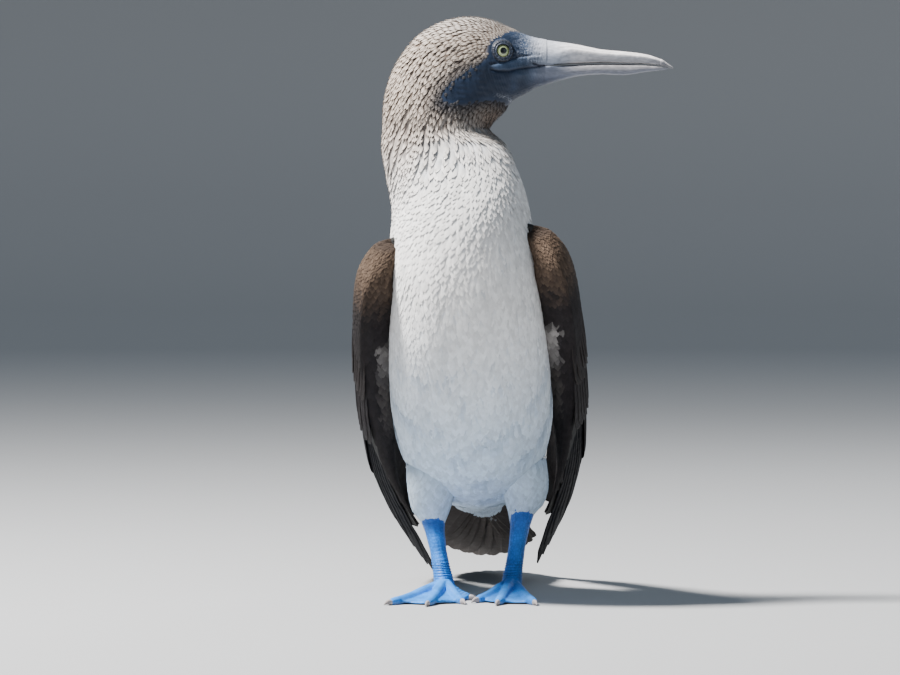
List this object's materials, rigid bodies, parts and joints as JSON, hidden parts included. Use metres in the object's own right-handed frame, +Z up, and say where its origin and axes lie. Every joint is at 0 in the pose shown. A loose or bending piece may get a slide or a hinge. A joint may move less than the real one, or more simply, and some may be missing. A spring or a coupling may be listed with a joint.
{
  "type": "blue-footed booby figure",
  "caption": "Life-size still figure of a blue-footed booby standing upright on both webbed feet, wings folded and head turned to its left.",
  "frame": {"origin": "middle of the underside of the bounding box, on the floor", "axes": "+Z up, -Y the way the breast and toes face, +X the bird's left, where the bill points"},
  "size_m": [0.215, 0.419, 0.3856],
  "materials": {
    "white_plumage": "soft white body feathers",
    "streaked_plumage": "narrow pale feathers with brown between them",
    "brown_plumage": "dark brown flight feathers with paler edges",
    "bill": "blue-grey horn, smooth",
    "blue_skin": "scaled blue skin",
    "claw": "pale horn",
    "eye": "wet, yellow with a black pupil"
  },
  "bodies": {
    "root": {"bill_lower": "bill", "bill_upper": "bill", "claw_left_1": "claw", "claw_left_2": "claw", "claw_left_3": "claw", "claw_left_4": "claw", "claw_right_1": "claw", "claw_right_2": "claw", "claw_right_3": "claw", "claw_right_4": "claw", "eye_left": "eye", "eye_right": "eye", "foot_left": "blue_skin", "foot_right": "blue_skin", "head": "streaked_plumage", "neck": "streaked_plumage", "shank_left": "blue_skin", "shank_right": "blue_skin", "tail": "brown_plumage", "thigh_left": "white_plumage", "thigh_right": "white_plumage", "torso": "white_plumage", "wing_left": "brown_plumage", "wing_right": "brown_plumage"}
  },
  "joints": []
}
